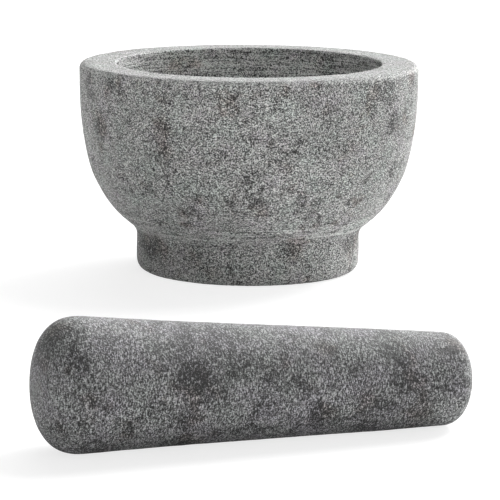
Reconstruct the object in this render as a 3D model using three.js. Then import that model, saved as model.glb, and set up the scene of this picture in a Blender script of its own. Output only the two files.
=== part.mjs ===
// Stone mortar and pestle.
//
// Two turned blocks of stone standing on one plane, z = 0, in millimetres with
// +Z up. The mortar's axis is the Z axis and its foot's flat is centred on the
// origin. The pestle is a separate, tapered stone that lies on the same plane
// in front of the mortar (towards -Y), thick end to the left (-X).

import * as THREE from 'three';

// ---------------------------------------------------------------- mortar ---
const RIM_R = 75.0; // outside radius at the rim
const HEIGHT = 92.0; // foot's flat to rim's flat
const RIM_ROUND = 2.6; // rounding of the rim's outer edge
const MOUTH_R = 58.7; // radius of the mouth, at the rim's inner edge
const MOUTH_EASE = 0.8; // small eased edge at the mouth
const CAVITY_DEPTH = 66.0; // rim's flat to the lowest point inside
const CAVITY_POWER = 2.5; // 2 would be an ellipsoid; more is fuller
const FOOT_FLAT_R = 47.6; // radius of the flat that the mortar stands on
const FOOT_R = 49.6; // radius of the foot's wall
const FOOT_ROUND_H = 6.0; // height of the rounding under the foot
const MORTAR_SIDES = 80;

// Outside wall from the foot up, as [height, radius].
const WALL = [
  [6.0, 49.6],
  [11.0, 49.65],
  [15.0, 49.55],
  [17.0, 49.75],
  [18.5, 50.4],
  [20.0, 51.6],
  [22.0, 54.0],
  [24.0, 56.5],
  [27.0, 59.5],
  [31.0, 62.6],
  [36.0, 65.8],
  [42.0, 68.8],
  [50.0, 71.35],
  [60.0, 73.3],
  [72.0, 74.6],
  [82.0, 74.95],
];

// ---------------------------------------------------------------- pestle ---
const PESTLE_LENGTH = 152.6; // tip to tip
const HEAD_R = 22.7; // radius behind the thick end's dome
const HEAD_DOME = 15.3; // length of that dome
const HEAD_POWER = 2.55; // fullness of that dome
const TAIL_R = 16.05; // radius behind the thin end's dome
const TAIL_DOME = 8.9;
const TAIL_POWER = 2.14;
const WAIST = [20.2, 18.25]; // radii a third and two thirds along the taper
const PESTLE_SIDES = 48;
const PESTLE_TIP = [-68.8, -338.9]; // where the thick end's tip is, seen from above
const PESTLE_YAW = 18.9; // degrees; the thin end points this far behind +X

// ------------------------------------------------------------- materials ---
const mortarStone = new THREE.MeshStandardMaterial({ color: 0x858885, roughness: 0.88, metalness: 0 });
const pestleStone = new THREE.MeshStandardMaterial({ color: 0x77787c, roughness: 0.84, metalness: 0 });

// --------------------------------------------------------------- helpers ---

// A quarter of a superellipse, from the axis end to the wall end: the dome of
// a turned stone. s runs from 0 on the axis to 1 at the full radius.
function dome(radius, length, power, s) {
  const a = (s * Math.PI) / 2;
  return [radius * Math.pow(Math.sin(a), 2 / power), length * Math.pow(Math.cos(a), 2 / power)];
}

// ---------------------------------------------------------------- mortar ---
function makeMortar() {
  const outline = [[0, 0]];

  // flat foot, then the rounding under it
  outline.push([FOOT_FLAT_R, 0]);
  for (let i = 1; i <= 4; i++) {
    const a = (i / 4) * (Math.PI / 2);
    outline.push([
      FOOT_FLAT_R + (FOOT_R - FOOT_FLAT_R) * Math.sin(a),
      FOOT_ROUND_H * (1 - Math.cos(a)),
    ]);
  }
  // wall of the foot and outside of the bowl
  for (const [z, r] of WALL.slice(1)) outline.push([r, z]);
  outline.push([RIM_R, HEIGHT - RIM_ROUND]);
  // rounded outer edge of the rim
  for (let i = 1; i <= 3; i++) {
    const a = (i / 3) * (Math.PI / 2);
    outline.push([
      RIM_R - RIM_ROUND * (1 - Math.cos(a)),
      HEIGHT - RIM_ROUND + RIM_ROUND * Math.sin(a),
    ]);
  }
  // flat rim, eased mouth, then the cavity down to the axis
  outline.push([MOUTH_R + MOUTH_EASE, HEIGHT]);
  const steps = 14;
  for (let i = 0; i <= steps; i++) {
    const [r, up] = dome(MOUTH_R, CAVITY_DEPTH, CAVITY_POWER, 1 - i / steps);
    const z = HEIGHT - up;
    if (i === 0) outline.push([MOUTH_R, HEIGHT - MOUTH_EASE]);
    else if (i === steps) outline.push([0, HEIGHT - CAVITY_DEPTH]);
    else outline.push([r, Math.min(z, HEIGHT - MOUTH_EASE - 1)]);
  }

  const points = outline.map(([r, z]) => new THREE.Vector2(r, z));
  const geometry = new THREE.LatheGeometry(points, MORTAR_SIDES);
  geometry.rotateX(Math.PI / 2); // the lathe turns about Y; the mortar's axis is Z
  const mesh = new THREE.Mesh(geometry, mortarStone);
  mesh.name = 'mortar';
  return mesh;
}

// ---------------------------------------------------------------- pestle ---

// Radius and distance along the axis, from the thick end's tip to the thin end's.
function pestleOutline() {
  const out = [];
  const domeSteps = 7;
  for (let i = 0; i <= domeSteps; i++) {
    const [r, back] = dome(HEAD_R, HEAD_DOME, HEAD_POWER, i / domeSteps);
    out.push([i === 0 ? 0 : r, HEAD_DOME - back]);
  }
  // slightly hollow taper through four radii
  const t0 = HEAD_DOME;
  const t1 = PESTLE_LENGTH - TAIL_DOME;
  const stations = [HEAD_R, WAIST[0], WAIST[1], TAIL_R];
  const taper = new THREE.SplineCurve(
    stations.map((r, i) => new THREE.Vector2(t0 + ((t1 - t0) * i) / 3, r)),
  );
  for (let i = 1; i < 9; i++) {
    const p = taper.getPoint(i / 9);
    out.push([p.y, p.x]);
  }
  for (let i = 0; i <= domeSteps; i++) {
    const [r, on] = dome(TAIL_R, TAIL_DOME, TAIL_POWER, 1 - i / domeSteps);
    out.push([i === domeSteps ? 0 : r, t1 + on]);
  }
  return out;
}

// Tilt at which the thick and the thin end both touch the plane: the slope of
// the straight edge laid along the taper's lower side.
function restingTilt(outline) {
  const middle = PESTLE_LENGTH * 0.45;
  let best = null;
  for (const [ra, ta] of outline) {
    if (ta >= middle) continue;
    for (const [rb, tb] of outline) {
      if (tb <= middle) continue;
      const slope = (ra - rb) / (tb - ta);
      const over = Math.max(...outline.map(([r, t]) => r - (ra - slope * (t - ta))));
      if (over < 1e-6 && (best === null || slope > best)) best = slope;
    }
  }
  return Math.atan(best);
}

function makePestle() {
  const outline = pestleOutline();
  const tilt = restingTilt(outline);
  // height of the thick end's tip when the lowest line of the stone is at z = 0
  const tipHeight = Math.max(
    ...outline.map(([r, t]) => t * Math.sin(tilt) + r * Math.cos(tilt)),
  );

  const points = outline.map(([r, t]) => new THREE.Vector2(r, t));
  const geometry = new THREE.LatheGeometry(points, PESTLE_SIDES);
  // stone's axis from +Y to +X, so that one row of corners faces straight down
  geometry.rotateZ(-Math.PI / 2);
  const mesh = new THREE.Mesh(geometry, pestleStone);
  mesh.name = 'pestle';

  const tipped = new THREE.Group();
  tipped.rotation.y = tilt; // thin end down
  tipped.add(mesh);

  const placed = new THREE.Group();
  placed.rotation.z = THREE.MathUtils.degToRad(PESTLE_YAW);
  placed.position.set(PESTLE_TIP[0], PESTLE_TIP[1], tipHeight);
  placed.add(tipped);
  return placed;
}

// ------------------------------------------------------------------ whole ---
const mortarAndPestle = new THREE.Group();
mortarAndPestle.add(makeMortar());
mortarAndPestle.add(makePestle());

export default mortarAndPestle;
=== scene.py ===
"""Turned stone mortar with its pestle lying in front of it."""

import math

import bmesh
import bpy
import numpy as np
from mathutils import Matrix, Vector


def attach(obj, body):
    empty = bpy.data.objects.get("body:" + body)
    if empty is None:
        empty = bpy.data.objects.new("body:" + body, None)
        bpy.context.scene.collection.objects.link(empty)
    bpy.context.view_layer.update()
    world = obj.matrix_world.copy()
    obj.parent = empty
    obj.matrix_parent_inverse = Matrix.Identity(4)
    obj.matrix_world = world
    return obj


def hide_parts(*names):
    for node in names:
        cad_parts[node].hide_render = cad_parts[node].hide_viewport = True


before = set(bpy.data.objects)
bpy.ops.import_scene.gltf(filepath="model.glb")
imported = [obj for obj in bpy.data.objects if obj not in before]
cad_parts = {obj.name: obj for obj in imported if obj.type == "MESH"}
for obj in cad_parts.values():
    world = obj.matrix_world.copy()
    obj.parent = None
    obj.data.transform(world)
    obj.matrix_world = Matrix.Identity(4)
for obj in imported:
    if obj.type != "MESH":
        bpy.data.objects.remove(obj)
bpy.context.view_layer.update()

scene = bpy.context.scene
scene.view_settings.view_transform = "Standard"
scene.view_settings.look = "None"
scene.view_settings.exposure = 0.0
scene.view_settings.gamma = 1.0

MM = 0.001


# ------------------------------------------------------------------ noise ---
class Noise:
    """Smooth 3-D gradient noise, the same on every run."""

    def __init__(self, seed):
        rng = np.random.RandomState(seed)
        self.p = np.concatenate([rng.permutation(256)] * 3)
        g = rng.normal(size=(256, 3))
        self.g = g / np.linalg.norm(g, axis=1)[:, None]

    def __call__(self, q):
        q = np.asarray(q, float)
        i = np.floor(q).astype(int)
        f = q - i
        u = f * f * f * (f * (f * 6 - 15) + 10)
        i &= 255
        out = 0.0
        for dx in (0, 1):
            for dy in (0, 1):
                for dz in (0, 1):
                    h = self.p[self.p[self.p[(i[:, 0] + dx) & 255] + ((i[:, 1] + dy) & 255)] + ((i[:, 2] + dz) & 255)]
                    d = ((f - (dx, dy, dz)) * self.g[h]).sum(1)
                    w = (
                        (u[:, 0] if dx else 1 - u[:, 0])
                        * (u[:, 1] if dy else 1 - u[:, 1])
                        * (u[:, 2] if dz else 1 - u[:, 2])
                    )
                    out = out + w * d
        return out * 1.6

    def fractal(self, q, octaves=4, gain=0.5):
        out, a, total = 0.0, 1.0, 0.0
        q = np.asarray(q, float)
        for k in range(octaves):
            out = out + a * self(q * 2**k + 17.3 * k)
            total += a
            a *= gain
        return out / total


def step(a, b, x):
    t = np.clip((x - a) / (b - a), 0, 1)
    return t * t * (3 - 2 * t)


# --------------------------------------------------------------- profiles ---
def resample(points, spacing):
    """A polyline through points, cut into steps of about spacing(r, z) mm."""
    p = np.array(points, float)
    seg = np.linalg.norm(np.diff(p, axis=0), axis=1)
    s = np.concatenate([[0], np.cumsum(seg)])
    fine = np.linspace(0, s[-1], 6000)
    r = np.interp(fine, s, p[:, 0])
    z = np.interp(fine, s, p[:, 1])
    want = np.array([spacing(a, b) for a, b in zip(r, z)])
    n = np.concatenate([[0], np.cumsum(np.diff(fine) / want[:-1])])
    count = int(round(n[-1]))
    at = np.interp(np.linspace(0, n[-1], count + 1), n, fine)
    return np.stack([np.interp(at, s, p[:, 0]), np.interp(at, s, p[:, 1])], 1), at


def monotone(xs, ys, at):
    """Smooth curve through the points with no overshoot (Fritsch-Carlson)."""
    xs, ys = np.asarray(xs, float), np.asarray(ys, float)
    h = np.diff(xs)
    d = np.diff(ys) / h
    m = np.zeros(len(xs))
    m[0], m[-1] = d[0], d[-1]
    for i in range(1, len(xs) - 1):
        if d[i - 1] * d[i] > 0:
            w1, w2 = 2 * h[i] + h[i - 1], h[i] + 2 * h[i - 1]
            m[i] = (w1 + w2) / (w1 / d[i - 1] + w2 / d[i])
    k = np.clip(np.searchsorted(xs, at) - 1, 0, len(h) - 1)
    t = (at - xs[k]) / h[k]
    return (
        (2 * t**3 - 3 * t**2 + 1) * ys[k]
        + (t**3 - 2 * t**2 + t) * h[k] * m[k]
        + (-2 * t**3 + 3 * t**2) * ys[k + 1]
        + (t**3 - t**2) * h[k] * m[k + 1]
    )


def arc(cx, cz, rx, rz, a0, a1, n):
    a = np.radians(np.linspace(a0, a1, n))
    return [(cx + rx * math.cos(t), cz + rz * math.sin(t)) for t in a]


# ----------------------------------------------------------------- lathe ---
def lathe(name, profile, sides, place, displace, zones=None):
    """One closed solid of revolution. profile is (r, z) in mm with both ends on
    the axis; displace(co, normal, s, angle) gives how far each point moves along its normal."""
    r, z = profile[:, 0], profile[:, 1]
    dr, dz = np.gradient(r), np.gradient(z)
    ln = np.hypot(dr, dz)
    nr, nz = dz / ln, -dr / ln
    inner = slice(1, len(r) - 1)
    ang = np.arange(sides) * 2 * math.pi / sides
    c, s = np.cos(ang), np.sin(ang)
    ri, zi, nri, nzi = r[inner], z[inner], nr[inner], nz[inner]
    rows = len(ri)
    co = np.stack([np.outer(ri, c), np.outer(ri, s), np.outer(zi, np.ones(sides))], -1).reshape(-1, 3)
    no = np.stack([np.outer(nri, c), np.outer(nri, s), np.outer(nzi, np.ones(sides))], -1).reshape(-1, 3)
    first = np.array([[0, 0, z[0]]])
    last = np.array([[0, 0, z[-1]]])
    co = np.concatenate([co, first, last])
    no = np.concatenate([no, [[0, 0, math.copysign(1, nz[0])]], [[0, 0, math.copysign(1, nz[-1])]]])
    row = np.concatenate([np.repeat(np.arange(rows), sides), [0, rows - 1]])
    angle = np.concatenate([np.tile(ang, rows), [0, 0]])
    moved = co + no * displace(co, no, row, angle)[:, None]

    j = np.arange(sides)
    k = (j + 1) % sides
    base = (np.arange(rows - 1) * sides)[:, None]
    quads = np.stack([base + j, base + k, base + sides + k, base + sides + j], -1).reshape(-1, 4)
    a, b = rows * sides, rows * sides + 1
    caps = [(a, int(y), int(x)) for x, y in zip(j, k)]
    top = (rows - 1) * sides
    caps += [(b, int(top + x), int(top + y)) for x, y in zip(j, k)]
    mesh = bpy.data.meshes.new(name)
    world = np.array(place)
    pts = moved @ world[:3, :3].T * MM + world[:3, 3]
    mesh.from_pydata(pts.tolist(), [], quads.tolist() + caps)
    mesh.update()
    bm = bmesh.new()
    bm.from_mesh(mesh)
    if bm.calc_volume(signed=True) < 0:
        bmesh.ops.reverse_faces(bm, faces=bm.faces)
    bm.to_mesh(mesh)
    bm.free()
    mesh.shade_smooth()
    # the stone's own coordinates, in mm, that its grain is laid out in
    layer = mesh.attributes.new("stone_mm", "FLOAT_VECTOR", "POINT")
    layer.data.foreach_set("vector", co.astype(np.float32).ravel())
    # distance along the turned outline, in mm, that the tool's rings follow
    run = np.concatenate([[0], np.cumsum(np.hypot(np.diff(r), np.diff(z)))])
    turn = np.concatenate([np.repeat(run[inner], sides), [run[0], run[-1]]])
    layer = mesh.attributes.new("turn_mm", "FLOAT", "POINT")
    layer.data.foreach_set("value", turn.astype(np.float32))
    layer = mesh.attributes.new("zone", "FLOAT_VECTOR", "POINT")
    layer.data.foreach_set("vector", (zones(co, no) if zones else np.zeros_like(co)).astype(np.float32).ravel())
    obj = bpy.data.objects.new(name, mesh)
    scene.collection.objects.link(obj)
    return obj


# ---------------------------------------------------------------- mortar ---
HEIGHT = 92.0
RIM_R = 75.0
MOUTH_R = 58.7
DEPTH = 66.0

wall_z = [0, 6.5, 11, 15, 16, 17, 18, 19, 20, 21, 22, 23, 24, 26, 28, 30, 33, 36, 40, 44, 50, 56, 62, 70, 78, 84, 89.4]
wall_r = [49.4, 49.65, 49.68, 49.5, 49.58, 49.76, 50.11, 50.71, 51.61, 52.75, 54.02, 55.3, 56.48, 58.56, 60.36, 61.94,
          63.99, 65.77, 67.87, 69.59, 71.35, 72.58, 73.59, 74.46, 74.86, 74.96, 75.0]


def mortar_profile():
    pts = [(0.0, 0.0), (46.4, 0.0)]
    # rounding under the foot
    pts += arc(46.4, 4.6, 3.2, 4.6, -90, 0, 14)[1:]
    zz = np.linspace(4.6, 89.4, 260)[1:]
    rr = monotone(wall_z, wall_r, zz)
    # ease the hollow between foot and bowl, as the tool leaves it
    soft = np.exp(-0.5 * (np.arange(-9, 10) / 3.0) ** 2)
    eased = np.convolve(np.pad(rr, 9, mode="edge"), soft / soft.sum(), mode="valid")
    rr = rr + (eased - rr) * step(8, 12, zz) * (1 - step(32, 40, zz))
    pts += list(zip(rr, zz))
    # rounded outer edge, flat rim, eased mouth
    pts += arc(RIM_R - 2.6, 89.4, 2.6, 2.6, 0, 90, 12)[1:]
    pts += [(MOUTH_R + 0.7, HEIGHT)]
    pts += arc(MOUTH_R + 0.7, HEIGHT - 0.7, 0.7, 0.7, 90, 180, 6)[1:]
    # cavity
    a = np.linspace(math.pi / 2, 0, 240)
    rr = MOUTH_R * np.sin(a) ** (2 / 2.5)
    zz = HEIGHT - DEPTH * np.cos(a) ** (2 / 2.5)
    keep = zz < HEIGHT - 1.2
    pts += list(zip(rr[keep], zz[keep]))
    pts[-1] = (0.0, HEIGHT - DEPTH)
    return pts


def mortar_spacing(r, z):
    if z < 0.01 and r < 44:
        return 3.2  # underside
    if r < 46 and z < 40:
        return 1.7  # bottom of the cavity
    if z > 88.5 and (r > 71.5 or r < 60.2):
        return 0.42  # the rim's two edges
    if z < 6 and r > 44:
        return 0.6
    if z > 66 and r < 60:
        return 0.55  # the turned wall just inside the mouth
    return 1.0


def mortar_displace(profile):
    n1, n2, n3 = Noise(11), Noise(23), Noise(37)
    rng = np.random.RandomState(5)
    r0, z0 = profile[1:-1, 0], profile[1:-1, 1]

    def f(co, no, row, angle):
        r, z = np.hypot(co[:, 0], co[:, 1]), co[:, 2]
        inside = (no[:, 0] * co[:, 0] + no[:, 1] * co[:, 1] < -1e-6) | ((r < MOUTH_R + 0.1) & (z > 20))
        d = 0.16 * n1.fractal(co / 26.0, 3)  # hand of the turner
        d += 0.05 * n2.fractal(co / 4.2, 3)
        # tool marks: rings that waver a little around the stone
        wav = z + 0.5 * n1(np.stack([np.cos(angle) * 1.3, np.sin(angle) * 1.3, z / 30], -1))
        ring = n3(np.stack([0 * z, 0 * z + 7.7, wav / 1.35], -1))
        ring2 = n3(np.stack([0 * z + 3.1, 0 * z, wav / 3.4], -1))
        d += np.where(inside, 0.11, 0.022) * ring + np.where(inside, 0.05, 0.012) * ring2
        # worn and chipped edges
        chip = n2.fractal(co / 3.1, 3)
        edge_out = np.exp(-(((r - (RIM_R - 0.8)) / 1.2) ** 2) - ((z - (HEIGHT - 0.8)) / 1.2) ** 2)
        edge_in = np.exp(-(((r - MOUTH_R) / 0.8) ** 2) - ((z - HEIGHT) / 0.8) ** 2)
        foot = np.exp(-(((r - 49.0) / 1.6) ** 2) - ((z - 1.5) / 2.0) ** 2)
        d -= 0.38 * edge_out * step(0.05, 0.5, chip)
        d -= 0.45 * edge_in * step(-0.05, 0.45, chip)
        d -= 0.45 * foot * step(0.0, 0.5, chip)
        # open pores, mostly where the stone is soft
        soft = step(-0.05, 0.35, n1.fractal(co / 9.0 + 5.0, 2))
        pore = step(0.32, 0.62, n3.fractal(co / 1.9 + 9.0, 2))
        d -= 0.30 * pore * soft
        return np.where(z < 0.02, 0.0, d)  # the ground flat that it stands on

    return f


# where the stone's larger clouds sit: x, y, z, radius in mm, then dark (+) or pale (-)
MORTAR_CLOUDS = [
    (-59, -46, 87, 3.1, 0.95), (-35, -66, 72, 2.8, 1.0), (-36, -64, 61, 4.4, 0.9), (-27, -70, 81, 2.8, 0.6),
    (-44, -54, 44, 2.4, 0.6), (10, -73, 67, 2.4, 0.6), (16, -71, 58, 2.6, 0.6), (2, -72, 52, 3.1, 0.6),
    (5, -67, 39, 2.8, 0.6), (-8, -68, 40, 2.2, 0.5), (32, -66, 62, 3.0, 0.7), (41, -61, 63, 2.6, 0.7),
    (62, -42, 70, 3.5, 1.0), (58, -47, 84, 3.1, 0.8), (28, -60, 37, 1.8, 0.4), (18, -46, 16, 3.5, 1.0),
    (-38, -31, 15, 4.0, 0.8), (-43, -25, 12, 3.1, 0.6), (-20, -45, 11, 3.1, 0.6), (-16, -47, 5, 2.0, 0.7),
    (-34, 48, 85, 3.1, 0.8), (-4, 58, 89, 2.6, 0.7), (35, 47, 88, 3.5, 0.7), (-64, -38, 68, 3.5, 0.6),
    (34, -67, 79, 2.6, 0.5), (-28, -70, 78, 3.5, -1.0), (41, -63, 79, 3.1, -0.8), (19, -72, 74, 3.1, -0.8),
    (-11, -58, 26, 4.4, -0.6), (3, -49, 5, 4.0, -0.5), (6, -74, 80, 4.0, -0.5), (32, -67, 86, 3.5, -0.4),
]
PESTLE_CLOUDS_AND_UNDERSIDE_SHADE = [
    (-4, 16, 3, 5.3, 1.0), (-18, 12, 10, 3.1, 0.7), (-7, 19, 49, 3.5, 0.7), (-18, 8, 62, 3.1, 1.0),
    (-20, 5, 50, 6.2, 1.0), (-19, 8, 47, 4.4, 0.9), (-18, 6, 75, 3.5, 0.6), (-13, 13, 95, 3.5, 0.6),
    (-14, 10, 122, 4.4, 0.8), (-17, 3, 123, 4.0, 0.7), (-15, 6, 141, 4.0, -0.4), (-17, -8, 92, 3.5, 0.6),
    (-13, 18, 21, 3.5, 0.5), (-18, -3, 107, 3.5, 0.4), (-17, -1, 4, 5.3, -0.7), (-9, 20, 29, 4.0, -0.6),
    # the last two entries below, low on the front side, are painted shade darkening the underside
    (-4, 18, 90, 4.0, -0.5), (-12, -12, 112, 4.5, 0.5), (-12, -11, 130, 4.5, 0.5),
]


def clouds(co, spots, spread):
    """The clouds at each point; the set comes round three times, once mirrored."""
    out = np.zeros(len(co))
    for x, y, z, radius, amount in spots:
        for turned, flip in ((0.0, 1), (2.15, 1), (4.2, -1)):
            c, s = math.cos(turned), math.sin(turned)
            at = np.array([x * flip * c - y * s, x * flip * s + y * c, z])
            d = np.linalg.norm(co - at, axis=1)
            out += 1.2 * amount * np.exp(-((d / (spread * radius)) ** 2))
    return np.clip(out, -1.2, 1.2)


def mortar_zones(co, no):
    """x: inside the bowl (painted light there); y: on the rim (+, painted shade on top, painted light on its rounded
    edges), a little in the crease over the foot and on the foot's lower edge (+, painted light), or in the hollow over
    the foot (-, painted shade); z: clouds."""
    r, z = np.hypot(co[:, 0], co[:, 1]), co[:, 2]
    inside = step(0.0, 0.5, HEIGHT - z) * (r < MOUTH_R + 0.75) * (z > 20)
    rim = step(HEIGHT - 2.3, HEIGHT - 0.1, z) * step(MOUTH_R - 0.1, MOUTH_R + 0.8, r)
    # painted shade: darker in the hollow over the foot
    hollow = np.exp(-(((z - 24.2) / 3.0) ** 2)) * (r > 47)
    # painted light: paler in the crease at z 20 where foot meets bowl and along the foot's lower edge, against the
    # shade that falls there
    painted_foot_light = (0.16 * np.exp(-(((z - 20.2) / 1.2) ** 2)) + 0.07 * step(7, 3, z)) * (r > 46)
    return np.stack([inside, rim - hollow + painted_foot_light, clouds(co, MORTAR_CLOUDS, 1.6)], 1)


m_prof, _ = resample(mortar_profile(), mortar_spacing)
mortar = lathe("mortar_stone", m_prof, 352, Matrix.Identity(4), mortar_displace(m_prof), mortar_zones)
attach(mortar, "mortar")
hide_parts("mortar")


# ---------------------------------------------------------------- pestle ---
LENGTH = 152.6
HEAD_R, HEAD_DOME, HEAD_POWER = 22.7, 15.3, 2.55
TAIL_R, TAIL_DOME, TAIL_POWER = 16.05, 8.9, 2.14
WAIST = (20.2, 18.25)
TIP = (-68.8, -338.9)
YAW = math.radians(18.9)


def dome(radius, length, power, s):
    a = s * math.pi / 2
    return radius * np.sin(a) ** (2 / power), length * np.cos(a) ** (2 / power)


def pestle_profile():
    s = np.linspace(0, 1, 90)
    r, back = dome(HEAD_R, HEAD_DOME, HEAD_POWER, s)
    t0, t1 = HEAD_DOME, LENGTH - TAIL_DOME
    pts = list(zip(r, t0 - back))
    pts[0] = (0.0, 0.0)
    tt = np.linspace(t0, t1, 200)[1:-1]
    k = np.polyfit([t0, t0 + (t1 - t0) / 3, t0 + 2 * (t1 - t0) / 3, t1], [HEAD_R, WAIST[0], WAIST[1], TAIL_R], 3)
    pts += list(zip(np.polyval(k, tt), tt))
    r, on = dome(TAIL_R, TAIL_DOME, TAIL_POWER, s[::-1])
    pts += list(zip(r, t1 + on))
    pts[-1] = (0.0, LENGTH)
    p = np.array(pts)
    # ease the two places where dome and taper meet
    fine, at = resample(p, lambda a, b: 0.25)
    w = np.hanning(25)
    w /= w.sum()
    q = fine.copy()
    for c in (0, 1):
        pad = np.pad(fine[:, c], 12, mode="edge")
        q[:, c] = np.convolve(pad, w, "valid")
    blend = np.minimum(step(4, 12, at), step(4, 12, at[-1] - at))[:, None]
    q = fine * (1 - blend) + q * blend
    q[0], q[-1] = (0, 0), (0, LENGTH)
    return q


def resting(profile):
    """Tilt at which both ends of the taper touch the plane, and the tip's height."""
    r, t = profile[:, 0], profile[:, 1]
    mid = LENGTH * 0.45
    lo, hi = t < mid, t >= mid
    best = 0.0
    for tilt in np.linspace(0.02, 0.08, 1201):
        h = r * math.cos(tilt) + t * math.sin(tilt)
        if h[lo].max() > h[hi].max():
            best = tilt
    h = r * math.cos(best) + t * math.sin(best)
    return best, h.max()


p_prof_fine = pestle_profile()
tilt, tip_height = resting(p_prof_fine)
tip_height = max(tip_height, 0.0)
# local +Z is the stone's axis, thick end at the local origin
axis = Vector((math.cos(tilt) * math.cos(YAW), math.cos(tilt) * math.sin(YAW), -math.sin(tilt)))
side = Vector((0, 0, 1)).cross(axis).normalized()
up = axis.cross(side).normalized()
pestle_place = Matrix(
    (
        (side.x, up.x, axis.x, TIP[0] * MM),
        (side.y, up.y, axis.y, TIP[1] * MM),
        (side.z, up.z, axis.z, tip_height * MM),
        (0, 0, 0, 1),
    )
)


def pestle_displace(profile):
    n1, n2, n3 = Noise(101), Noise(127), Noise(151)

    def f(co, no, row, angle):
        t = co[:, 2]
        d = 0.10 * n1.fractal(co / 22.0, 3) - 0.04
        d += 0.045 * n2.fractal(co / 3.6, 3)
        wav = t + 0.6 * n1(np.stack([np.cos(angle) * 1.1, np.sin(angle) * 1.1, t / 40], -1))
        d += 0.022 * n3(np.stack([0 * t, 0 * t + 2.2, wav / 1.1], -1))
        d += 0.03 * n3(np.stack([0 * t + 5.2, 0 * t, wav / 4.0], -1))
        soft = step(-0.05, 0.35, n1.fractal(co / 8.0 + 3.0, 2))
        pore = step(0.30, 0.62, n3.fractal(co / 1.5 + 4.0, 2))
        d -= 0.24 * pore * soft
        return d

    return f


p_prof, _ = resample(p_prof_fine, lambda r, t: 0.62 if 3 < t < LENGTH - 3 else 0.5)
pestle = lathe(
    "pestle_stone", p_prof, 264, pestle_place, pestle_displace(p_prof),
    lambda co, no: np.stack([0 * co[:, 0], 0 * co[:, 0], clouds(co, PESTLE_CLOUDS_AND_UNDERSIDE_SHADE, 1.15)], 1),
)
# set the displaced stone down on the plane again
low = min(v.co.z for v in pestle.data.vertices)
pestle.data.transform(Matrix.Translation((0, 0, -low)))
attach(pestle, "pestle")
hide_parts("pestle")


# ------------------------------------------------------------- materials ---
class Nodes:
    """A short way of writing a node tree."""

    def __init__(self, material):
        self.t = material.node_tree
        self.t.nodes.clear()
        self.x = 0

    def add(self, kind, settings=None, **inputs):
        n = self.t.nodes.new(kind)
        n.location = (self.x, 0)
        self.x += 40
        for k, v in (settings or {}).items():
            setattr(n, k, v)
        for k, v in inputs.items():
            self.put(n, k, v)
        return n

    def put(self, n, key, value):
        if isinstance(key, str):
            names = [i.name for i in n.inputs]
            alt = key.replace("_", " ")
            socket = None
            for i in n.inputs:
                if i.name == alt and i.enabled:
                    socket = i
                    break
            if socket is None:
                raise KeyError(f"{n.bl_idname} has no input {alt}: {names}")
        else:
            socket = n.inputs[key]
        if isinstance(value, bpy.types.NodeSocket):
            self.t.links.new(value, socket)
        else:
            socket.default_value = value

    def math(self, op, a, b=None, c=None, clamp=False):
        n = self.t.nodes.new("ShaderNodeMath")
        n.operation = op
        n.use_clamp = clamp
        for i, v in enumerate((a, b, c)):
            if v is not None:
                self.put(n, i, v)
        return n.outputs[0]

    def vmath(self, op, a, b=None, scale=None):
        n = self.t.nodes.new("ShaderNodeVectorMath")
        n.operation = op
        self.put(n, 0, a)
        if b is not None:
            self.put(n, 1, b)
        if scale is not None:
            n.inputs["Scale"].default_value = scale
        return n.outputs[0]

    def noise(self, vector, scale, detail=2.0, rough=0.5, distortion=0.0, colour=False, lacunarity=2.0):
        n = self.add("ShaderNodeTexNoise", {"noise_dimensions": "3D"}, Vector=vector, Scale=scale, Detail=detail,
                     Roughness=rough, Distortion=distortion, Lacunarity=lacunarity)
        return n.outputs["Color" if colour else "Fac"]

    def cells(self, vector, scale, rand=1.0, feature="F1"):
        n = self.add("ShaderNodeTexVoronoi", {"voronoi_dimensions": "3D", "feature": feature}, Vector=vector, Scale=scale,
                     Randomness=rand)
        return n

    def ramp(self, fac, stops, interpolation="LINEAR"):
        n = self.t.nodes.new("ShaderNodeValToRGB")
        n.color_ramp.interpolation = interpolation
        e = n.color_ramp.elements
        while len(e) > 1:
            e.remove(e[-1])
        e[0].position, e[0].color = stops[0][0], self.rgba(stops[0][1])
        for p, c in stops[1:]:
            x = e.new(p)
            x.color = self.rgba(c)
        self.put(n, "Fac", fac)
        return n.outputs["Color"]

    def remap(self, v, a, b, c=0.0, d=1.0, smooth=False):
        n = self.add("ShaderNodeMapRange", {"interpolation_type": "SMOOTHSTEP" if smooth else "LINEAR", "clamp": True})
        for i, x in enumerate((v, a, b, c, d)):
            self.put(n, i, x)
        return n.outputs[0]

    def mix(self, fac, a, b, blend="MIX"):
        n = self.t.nodes.new("ShaderNodeMix")
        n.data_type = "RGBA"
        n.blend_type = blend
        n.clamp_factor = True
        for i, s in enumerate(n.inputs):
            if s.enabled and s.name == "Factor":
                self.put(n, i, fac)
            elif s.enabled and s.name == "A":
                self.put(n, i, a)
            elif s.enabled and s.name == "B":
                self.put(n, i, b)
        return [o for o in n.outputs if o.enabled][0]

    @staticmethod
    def rgba(c):
        if isinstance(c, (int, float)):
            return (c, c, c, 1.0)
        return (*c, 1.0) if len(c) == 3 else c


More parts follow.
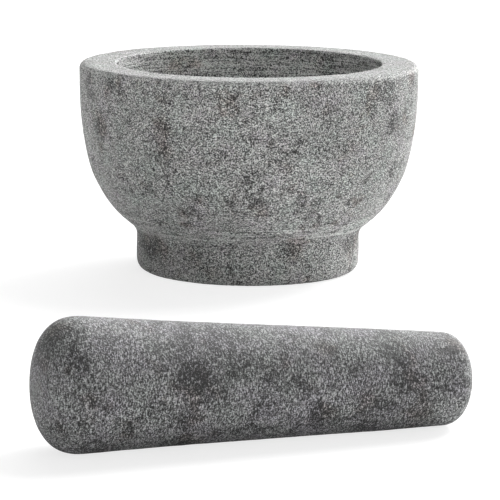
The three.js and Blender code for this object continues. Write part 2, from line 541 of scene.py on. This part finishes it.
def stone(name, look):
    """Fine-grained grey stone: sub-millimetre light and dark minerals drawn out
    along the turning, clusters of dark specks, pale patches, and turned rings; on the mortar also painted light and
    shade from its zones."""
    m = bpy.data.materials.new(name)
    m.use_nodes = True
    n = Nodes(m)
    co = n.add("ShaderNodeAttribute", {"attribute_name": "stone_mm", "attribute_type": "GEOMETRY"}).outputs["Vector"]
    turn = n.add("ShaderNodeAttribute", {"attribute_name": "turn_mm", "attribute_type": "GEOMETRY"}).outputs["Fac"]
    zone = n.add("ShaderNodeAttribute", {"attribute_name": "zone", "attribute_type": "GEOMETRY"}).outputs["Vector"]
    zone = n.add("ShaderNodeSeparateXYZ", Vector=zone)
    inside, edge, spot = zone.outputs["X"], zone.outputs["Y"], zone.outputs["Z"]
    sep = n.add("ShaderNodeSeparateXYZ", Vector=co)

    rim, hollow = n.math("MAXIMUM", edge, 0.0), n.math("MINIMUM", edge, 0.0)

    def along(stretch):
        """Coordinates drawn out round the stone, with the turned outline across them."""
        x = n.math("MULTIPLY", sep.outputs["X"], stretch)
        y = n.math("MULTIPLY", sep.outputs["Y"], stretch)
        return n.add("ShaderNodeCombineXYZ", X=x, Y=y, Z=turn).outputs[0]

    def off(v, x, y, z):
        return n.vmath("ADD", v, (x, y, z))

    def centred(v):
        return n.math("SUBTRACT", v, 0.5)

    # grain: a fine salt and pepper, irregular cells under it, short dashes along the turning
    pepper = centred(n.noise(co, look["grain"], 1.0, 0.75))
    cells = n.cells(n.vmath("ADD", co, n.vmath("SCALE", n.noise(co, 1.7, 1.0, 0.5, colour=True), scale=0.7)), look["grain"] * 0.9)
    cell = centred(n.add("ShaderNodeSeparateColor", Color=cells.outputs["Color"]).outputs["Red"])
    dash = centred(n.noise(along(0.30), look["grain"] * 1.25, 1.0, 0.7))
    w1, w2, w3 = look["weights"]
    grain = n.math("MULTIPLY_ADD", pepper, w1, n.math("MULTIPLY_ADD", cell, w2, n.math("MULTIPLY", dash, w3)))

    # clouds, and the dark specks that crowd in them
    cloud = n.noise(off(co, 5, 2, 8), look["cloud"], 2.0, 0.5, 0.5)
    knot = n.noise(off(co, 40, 11, 3), look["cloud"] * 2.6, 1.5, 0.5, 0.6)
    both = n.math("MULTIPLY_ADD", cloud, 0.6, n.math("MULTIPLY", knot, 0.4))
    both = n.math("MULTIPLY_ADD", spot, look["spot"], both)
    mott = n.remap(both, look["mott"][0], look["mott"][1], 0, 1, smooth=True)
    mott = n.math("MAXIMUM", mott, n.math("MULTIPLY", spot, 0.8, clamp=True))
    mott = n.math("MULTIPLY", mott, n.remap(rim, 0, 1, 1, 0.4))
    speck_n = n.noise(off(co, 17, 60, 33), look["speck"], 2.0, 0.6, 1.2)
    speck_at = n.remap(mott, 0, 1, look["speck_at"][0], look["speck_at"][1])
    speck = n.math("MULTIPLY", n.math("SUBTRACT", speck_n, speck_at), 9.0, clamp=True)
    dark = n.math("MULTIPLY_ADD", speck, look["speck_depth"], n.math("MULTIPLY", mott, look["mott_depth"]))
    # the darkest clouds have a small, nearly black heart
    heart = n.math("MULTIPLY", n.remap(spot, 0.82, 1.2, 0, 1, smooth=True), n.remap(speck_n, 0.38, 0.56, 0.2, 1.0))
    dark = n.math("MULTIPLY_ADD", heart, look["heart"], dark)
    pale_n = n.noise(off(co, 31, 7, 3), look["cloud"] * 1.9, 3.0, 0.6, 0.8)
    pale = n.remap(n.math("MULTIPLY_ADD", spot, -0.14, pale_n), 0.52, 0.72, 0, 1, smooth=True)
    # thin pale curved veins, short and few
    vein_n = n.math("ABSOLUTE", centred(n.noise(off(co, 90, 21, 44), 0.16, 1.0, 0.4, 0.8)))
    vein = n.math("MULTIPLY", n.remap(vein_n, 0.0, 0.012, 1, 0), n.remap(n.noise(off(co, 2, 81, 14), 0.13, 1.0, 0.5), 0.58, 0.66, 0, 1))

    # turning rings
    fine = centred(n.noise(along(look["ring_long"]), look["ring"], 1.0, 0.6))
    wide = centred(n.noise(off(along(look["ring_long"] * 0.7), 9, 4, 60), look["ring"] * 0.42, 2.0, 0.55))
    patch = n.remap(n.noise(off(co, 14, 33, 90), 0.045, 2.0, 0.5), 0.38, 0.62, 0.25, 1.0)
    amount = n.math("MULTIPLY_ADD", patch, look["ring_tone"], n.math("MULTIPLY", inside, look["ring_inside"]))
    rings = n.math("MULTIPLY_ADD", wide, 0.15, fine)

    lively = n.math("MULTIPLY", n.remap(inside, 0, 1, 1, 1.35), n.remap(rim, 0, 1, 1, 0.8))
    g = n.math("MULTIPLY_ADD", grain, lively, 0.5)
    g = n.math("MULTIPLY_ADD", rings, amount, g)
    g = n.math("MULTIPLY_ADD", pale, look["pale"], g)
    g = n.math("MULTIPLY_ADD", vein, 0.16, g)
    # painted shade: the rim a little darker, where the lamps fall full on its top
    g = n.math("MULTIPLY_ADD", rim, look["painted_rim_shade"], g)
    painted_edge_and_foot_light = n.math("MULTIPLY", rim, n.math("SUBTRACT", 1.0, rim))  # painted light, strongest halfway down the rim's rounded edge where it turns from the lamps, and also on the paler bands of the foot
    g = n.math("MULTIPLY_ADD", painted_edge_and_foot_light, look["painted_edge_and_foot_light"], g)
    # painted light: the inside of the bowl is lighter than the lamps leave it
    g = n.math("MULTIPLY_ADD", inside, look["painted_inside_light"], g)
    # painted shade: darker in the hollow over the foot
    g = n.math("MULTIPLY_ADD", hollow, look["hollow"], g)
    g = n.math("SUBTRACT", g, dark)

    tone = n.ramp(g, look["tones"])
    # hue: faint green and faint violet fields, brown inside some dark clouds, and a trace per grain
    hue = n.math("MULTIPLY_ADD", centred(n.add("ShaderNodeSeparateColor", Color=cells.outputs["Color"]).outputs["Blue"]), 0.16,
                 n.noise(off(co, 3, 50, 9), 0.085, 3.0, 0.55))
    tone = n.mix(1.0, tone, n.ramp(hue, look["hues"]), "MULTIPLY")
    brown = n.remap(n.noise(off(co, 70, 5, 21), 0.08, 2.0, 0.5), 0.5, 0.62, 0, 1, smooth=True)
    tone = n.mix(n.math("MULTIPLY", brown, n.math("MULTIPLY_ADD", mott, 0.7, n.math("MULTIPLY", speck, 0.3))), tone,
                 n.mix(1.0, tone, (1.08, 0.985, 0.94, 1), "MULTIPLY"))
    # broad, faint change of tone over the block
    broad = n.remap(n.noise(co, 0.022, 2.0, 0.5), 0.3, 0.7, 0.94, 1.06)
    tone = n.mix(1.0, tone, n.add("ShaderNodeCombineColor", Red=broad, Green=broad, Blue=broad).outputs[0], "MULTIPLY")

    rough = n.remap(g, 0.1, 0.9, look["rough"][0], look["rough"][1])
    # relief: grains stand a little proud or low, rings are scratched in, specks are shallow pits
    h = n.math("MULTIPLY_ADD", pepper, 1.3, n.math("MULTIPLY", cell, 0.35))
    h = n.math("MULTIPLY_ADD", dash, 0.8, h)
    h = n.math("MULTIPLY_ADD", n.math("MULTIPLY", rings, n.remap(inside, 0, 1, 1, 2.6)), look["ring_relief"], h)
    h = n.math("MULTIPLY_ADD", speck, -0.8, h)
    bump = n.add("ShaderNodeBump", Strength=look["bump"], Distance=0.00016, Height=h)
    p = n.add("ShaderNodeBsdfPrincipled", Base_Color=tone, Roughness=rough, Normal=bump.outputs[0])
    p.inputs["Specular IOR Level"].default_value = 0.42
    p.inputs["IOR"].default_value = 1.5
    out = n.add("ShaderNodeOutputMaterial", Surface=p.outputs[0])
    return m


mortar_look = {
    "grain": 1.95,
    "weights": (3.1, 0.26, 1.3),
    "cloud": 0.075,
    "mott": (0.535, 0.625),
    "mott_depth": 0.10,
    "spot": 0.17,
    "speck": 0.75,
    "speck_at": (0.64, 0.49),
    "speck_depth": 0.42,
    "heart": 0.30,
    "pale": 0.11,
    "ring": 1.6,
    "ring_long": 0.04,
    "ring_tone": 0.30,
    "ring_inside": 1.5,
    "ring_relief": 1.0,
    # painted shade on the rim, painted light on its rounded edges and the foot, painted light inside the bowl, painted
    # shade in the hollow over the foot
    "painted_rim_shade": -0.035,
    "painted_edge_and_foot_light": 0.8,
    "painted_inside_light": 0.19,
    "hollow": 0.17,
    "bump": 0.8,
    "rough": (0.62, 0.86),
    "tones": [(0.0, 0.010), (0.14, 0.036), (0.30, 0.108), (0.5, 0.23), (0.68, 0.35), (0.84, 0.49), (1.0, 0.70)],
    "hues": [(0.34, (0.95, 1.015, 0.965)), (0.47, (0.985, 1.0, 0.975)), (0.56, (0.995, 1.0, 0.97)), (0.68, (1.015, 0.985, 1.01))],
}
pestle_look = dict(mortar_look)
pestle_look.update(
    {
        "tones": [(0.0, 0.008), (0.14, 0.022), (0.30, 0.062), (0.5, 0.130), (0.68, 0.205), (0.84, 0.30), (1.0, 0.46)],
        "hues": [(0.34, (0.97, 1.01, 0.985)), (0.5, (0.995, 1.0, 1.005)), (0.66, (1.01, 0.985, 1.045))],
        "weights": (2.5, 0.26, 2.3),
        "ring_tone": 0.14,
        "ring_relief": 0.5,
        "mott": (0.515, 0.615),
        "mott_depth": 0.14,
    }
)
mortar.data.materials.append(stone("mortar_granite", mortar_look))
pestle.data.materials.append(stone("pestle_granite", pestle_look))


# ----------------------------------------------------------------- stage ---
def make_floor():
    mesh = bpy.data.meshes.new("floor")
    bm = bmesh.new()
    bmesh.ops.create_circle(bm, cap_ends=True, radius=30.0, segments=64)
    bmesh.ops.translate(bm, verts=bm.verts, vec=(0, 0, -0.0001))
    bm.to_mesh(mesh)
    bm.free()
    o = bpy.data.objects.new("floor", mesh)
    scene.collection.objects.link(o)
    m = bpy.data.materials.new("pale_floor")
    m.use_nodes = True
    n = Nodes(m)
    # the table glows a little to the camera, as a lit acrylic sweep does, so shadows stay faint
    matte = n.add("ShaderNodeBsdfDiffuse", Color=(0.88, 0.88, 0.88, 1))
    lit = n.add("ShaderNodeEmission", Color=(1, 1, 1, 1), Strength=0.11)
    felt = n.t.nodes.new("ShaderNodeAddShader")
    n.put(felt, 0, matte.outputs[0])
    n.put(felt, 1, lit.outputs[0])
    dim = n.add("ShaderNodeBsdfDiffuse", Color=(0.36, 0.36, 0.36, 1))
    glow = n.add("ShaderNodeEmission", Color=(1, 1, 1, 1), Strength=0.76)
    seen = n.t.nodes.new("ShaderNodeAddShader")
    n.put(seen, 0, dim.outputs[0])
    n.put(seen, 1, glow.outputs[0])
    path = n.add("ShaderNodeLightPath")
    mixn = n.t.nodes.new("ShaderNodeMixShader")
    n.put(mixn, 0, path.outputs["Is Camera Ray"])
    n.put(mixn, 1, felt.outputs[0])
    n.put(mixn, 2, seen.outputs[0])
    n.add("ShaderNodeOutputMaterial", Surface=mixn.outputs[0])
    mesh.materials.append(m)
    return o


make_floor()

world = bpy.data.worlds.new("studio")
scene.world = world
world.use_nodes = True
wt = world.node_tree
wt.nodes.clear()
path = wt.nodes.new("ShaderNodeLightPath")
# white to the camera, dim to diffuse rays so that the lamps shape the stone, bright at glancing angles
levels = {}
for key, strength in (("seen", 1.0), ("felt", 0.235), ("gloss", 0.9)):
    levels[key] = wt.nodes.new("ShaderNodeBackground")
    levels[key].inputs[0].default_value = (1, 1, 1, 1)
    levels[key].inputs[1].default_value = strength
mixd = wt.nodes.new("ShaderNodeMixShader")
mixw = wt.nodes.new("ShaderNodeMixShader")
wo = wt.nodes.new("ShaderNodeOutputWorld")
wt.links.new(path.outputs["Is Diffuse Ray"], mixd.inputs[0])
wt.links.new(levels["seen"].outputs[0], mixd.inputs[1])
wt.links.new(levels["felt"].outputs[0], mixd.inputs[2])
wt.links.new(path.outputs["Is Glossy Ray"], mixw.inputs[0])
wt.links.new(mixd.outputs[0], mixw.inputs[1])
wt.links.new(levels["gloss"].outputs[0], mixw.inputs[2])
wt.links.new(mixw.outputs[0], wo.inputs[0])


def sun(name, direction, strength, angle):
    data = bpy.data.lights.new(name, "SUN")
    data.energy = strength
    data.angle = math.radians(angle)
    o = bpy.data.objects.new(name, data)
    scene.collection.objects.link(o)
    o.rotation_euler = Vector(direction).to_track_quat("Z", "Y").to_euler()
    return o


def toward(azimuth, elevation):
    """Direction to a light: azimuth 0 is straight behind the camera, 90 to the right, 180 behind the stones."""
    a, e = math.radians(azimuth), math.radians(elevation)
    return (math.sin(a) * math.cos(e), -math.cos(a) * math.cos(e), math.sin(e))


sun("back_right", toward(140, 35), 1.91, 28)
sun("back_right_high", toward(130, 50), 2.11, 28)
sun("back_high", toward(175, 62), 0.60, 32)
sun("back_low", toward(165, 18), 1.35, 44)
sun("right_low", toward(120, 10), 0.80, 28)
sun("right_wide", toward(135, 18), 0.36, 44)
sun("front_right", toward(28, 26), 0.50, 40)

# ---------------------------------------------------------------- camera ---
CAM_AT = (1.01556, -1210.394, 227.0947)  # mm
CAM_PITCH = math.radians(10.288813)
CAM_ROLL = math.radians(0.419289)
CAM_FOCAL_PX = 2744.794

fwd = Vector((0, math.cos(CAM_PITCH), -math.sin(CAM_PITCH)))
right = Vector((1, 0, 0))
upv = right.cross(fwd)
r2 = right * math.cos(CAM_ROLL) + upv * math.sin(CAM_ROLL)
u2 = -right * math.sin(CAM_ROLL) + upv * math.cos(CAM_ROLL)
cam_data = bpy.data.cameras.new("camera")
cam_data.sensor_width = 36.0
cam_data.lens = CAM_FOCAL_PX * 36.0 / 500.0
cam_data.clip_start = 0.05
cam_data.clip_end = 100.0
cam = bpy.data.objects.new("camera", cam_data)
scene.collection.objects.link(cam)
cam.matrix_world = Matrix(
    (
        (r2.x, u2.x, -fwd.x, CAM_AT[0] * MM),
        (r2.y, u2.y, -fwd.y, CAM_AT[1] * MM),
        (r2.z, u2.z, -fwd.z, CAM_AT[2] * MM),
        (0, 0, 0, 1),
    )
)
scene.camera = cam
